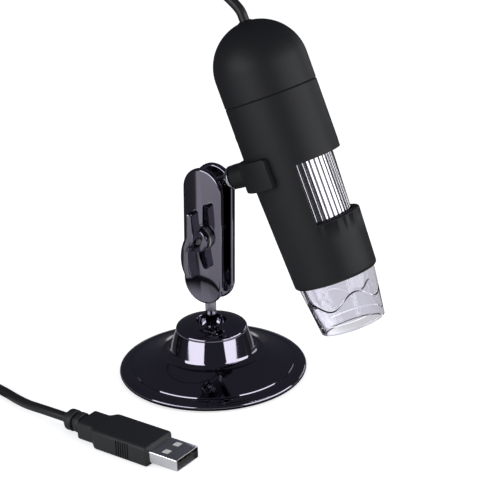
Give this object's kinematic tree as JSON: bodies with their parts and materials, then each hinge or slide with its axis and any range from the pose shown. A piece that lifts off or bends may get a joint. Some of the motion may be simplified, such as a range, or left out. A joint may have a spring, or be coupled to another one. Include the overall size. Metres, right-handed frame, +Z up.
{
  "type": "usb digital microscope on a ball-jointed stand",
  "caption": "Handheld digital microscope with a focus wheel and clear lit nose, held by a clip on a clamped ball-joint arm over a round metal foot, with its cable and plug.",
  "frame": {"origin": "middle of the foot's underside, on the surface that it stands on", "axes": "+Z up; +X from the arm towards the microscope's nose; the clamp knob is on the -Y side"},
  "size_m": [0.2426, 0.107, 0.1583],
  "materials": {
    "cast_metal": "gloss black-nickel plated zinc casting",
    "foot_rubber": "matte soft rubber",
    "plate_metal": "black-nickel plated pressed steel, mirror bright",
    "stud_steel": "bright turned steel",
    "dark_stud_steel": "blackened turned steel",
    "fastener_steel": "zinc plated steel",
    "knob_plastic": "glossy black moulded plastic",
    "clip_plastic": "soft-touch matte black",
    "shell_plastic": "fine matte black moulding",
    "key_plastic": "dark grey moulding",
    "wheel_silver": "silver plated plastic, ribbed",
    "inner_plastic": "plain black moulding",
    "board_laminate": "green board laminate",
    "chip_plastic": "moulded chip package",
    "lens_glass": "coated clear glass",
    "filter_glass": "pale cyan filter glass",
    "lamp_resin": "water-clear lamp resin",
    "nose_clear": "clear moulded acrylic",
    "cable_jacket": "satin black cable jacket",
    "plug_plastic": "matte black overmould",
    "plug_steel": "nickel plated folded sheet",
    "tongue_plastic": "black insert",
    "contact_gold": "gold flashed contacts",
    "gland_rubber": "soft black moulding"
  },
  "bodies": {
    "stand": {"base_casting": "cast_metal", "base_pad": "foot_rubber", "cord_coil": "cable_jacket", "coil_tie": "clip_plastic", "cord_lower": "cable_jacket", "plug_overmould": "plug_plastic", "plug_shell": "plug_steel", "plug_tongue": "tongue_plastic", "plug_contacts": "contact_gold"},
    "lower_stud": {"lower_ball_stud": "dark_stud_steel", "stud_washer": "fastener_steel", "stud_nut": "fastener_steel"},
    "arm": {"clamp_front_plate": "plate_metal", "clamp_rear_plate": "plate_metal", "clamp_bolt": "fastener_steel"},
    "knob_carrier": {"knob_washer": "fastener_steel"},
    "knob": {"knob_hub": "knob_plastic", "clamp_knob": "knob_plastic"},
    "upper_stud": {"upper_ball_stud": "dark_stud_steel"},
    "holder": {"stud_collar": "stud_steel", "scope_holder": "clip_plastic", "cord_upper": "cable_jacket"},
    "scope": {"rear_cap": "shell_plastic", "main_housing": "shell_plastic", "cable_gland": "gland_rubber", "main_board": "board_laminate", "controller_and_header": "chip_plastic", "snapshot_switch": "chip_plastic", "sensor_board": "board_laminate", "image_sensor": "chip_plastic", "sensor_hood": "inner_plastic", "infrared_filter": "filter_glass", "board_standoffs": "fastener_steel", "board_screws": "fastener_steel", "focus_guide_tube": "inner_plastic", "lamp_board": "board_laminate", "lamps": "lamp_resin", "clear_nose": "nose_clear"},
    "snapshot_key": {"snapshot_button": "key_plastic"},
    "focus_ring": {"focus_wheel": "wheel_silver"},
    "lens_carrier": {"lens_barrel": "inner_plastic", "front_lens": "lens_glass", "rear_lens": "lens_glass", "front_lens_ring": "inner_plastic", "rear_lens_ring": "inner_plastic"}
  },
  "joints": [
    {"name": "base_swivel", "type": "hinge", "parent": "stand", "child": "lower_stud", "pos_m": [0, 0, 0.0362], "axis": [0, 0, 1], "continuous": true, "deforming": ["cord_upper"]},
    {"name": "arm_tilt", "type": "hinge", "parent": "lower_stud", "child": "arm", "pos_m": [0, 0, 0.0362], "axis": [0, 1, 0], "range_deg": [-40, 25], "deforming": ["cord_upper"]},
    {"name": "holder_tilt", "type": "hinge", "parent": "arm", "child": "upper_stud", "pos_m": [0.00156, 0, 0.07497], "axis": [0, -1, 0], "range_deg": [-25, 35], "deforming": ["cord_upper"]},
    {"name": "holder_spin", "type": "hinge", "parent": "upper_stud", "child": "holder", "pos_m": [0.00156, 0, 0.07497], "axis": [0.9212, 0, 0.3891], "range_deg": [-90, 90], "deforming": ["cord_upper"]},
    {"name": "scope_roll", "type": "hinge", "parent": "holder", "child": "scope", "pos_m": [0.01979, 0, 0.13717], "axis": [0.3891, 0, -0.9212], "continuous": true},
    {"name": "focus_turn", "type": "hinge", "parent": "scope", "child": "focus_ring", "pos_m": [0.04361, 0, 0.08079], "axis": [0.3891, 0, -0.9212], "range_deg": [-165, 165]},
    {"name": "lens_slide", "type": "slide", "parent": "scope", "child": "lens_carrier", "axis": [0.3891, 0, -0.9212], "range_m": [-0.0045, 0.0045]},
    {"name": "snapshot_press", "type": "slide", "parent": "scope", "child": "snapshot_key", "axis": [0.9098, 0.1564, 0.3843], "range_m": [0, 0.0005], "stiffness_N_per_m": 600, "springref_m": -0.0004},
    {"name": "knob_travel", "type": "slide", "parent": "arm", "child": "knob_carrier", "axis": [0, -1, 0], "range_m": [0, 0.00114]},
    {"name": "knob_turn", "type": "hinge", "parent": "knob_carrier", "child": "knob", "pos_m": [0.00078, 0, 0.05558], "axis": [0, -1, 0], "range_deg": [0, 540]}
  ],
  "couplings": [
    {"joint": "lens_slide", "follows": "focus_turn", "m_per_rad": 0.0015625},
    {"joint": "knob_travel", "follows": "knob_turn", "m_per_rad": 0.00011141}
  ]
}
